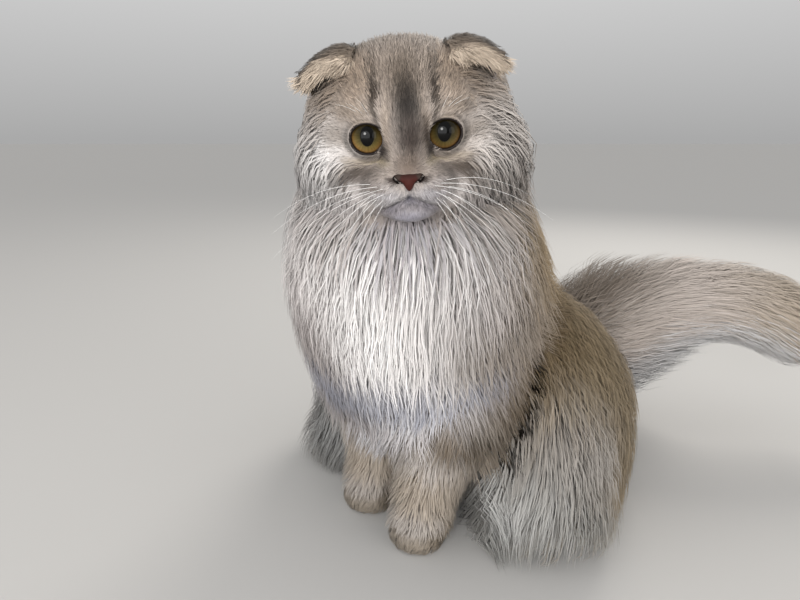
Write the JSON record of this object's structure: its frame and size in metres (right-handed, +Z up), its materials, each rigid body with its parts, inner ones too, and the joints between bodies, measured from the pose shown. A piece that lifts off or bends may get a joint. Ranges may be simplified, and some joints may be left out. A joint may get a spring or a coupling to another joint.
{
  "type": "scottish fold cat",
  "caption": "Life-size long-haired cat with folded ears, sitting upright on its haunches with its forelegs straight, its head turned to the front and its plumed tail raised to one side",
  "frame": {"origin": "middle of the bounding box's footprint, on the floor under the paws", "axes": "+Z up; the face looks along -Y; +X is the cat's left, where the tail is; the body is turned 35 degrees from the face"},
  "size_m": [0.514, 0.3318, 0.3499],
  "materials": {
    "coat": "long soft fur, cream with tawny brown tips",
    "face": "short dense fur, grey-brown with darker stripes",
    "tail": "long loose fur, pale beige-grey",
    "paw": "short fur, cream",
    "nose": "moist brick-red nose leather",
    "eye": "wet amber eye"
  },
  "bodies": {
    "root": {"eye_left": "eye", "eye_right": "eye", "nose": "nose", "head": "face", "ear_left": "face", "ear_right": "face", "neck": "coat", "torso": "coat", "forepaw_left": "paw", "forepaw_right": "paw", "foreleg_left": "coat", "foreleg_right": "coat", "hindpaw_left": "paw", "hindpaw_right": "paw", "hindleg_left": "coat", "hindleg_right": "coat", "tail_base": "tail", "tail_middle": "tail", "tail_tip": "tail"}
  },
  "joints": []
}
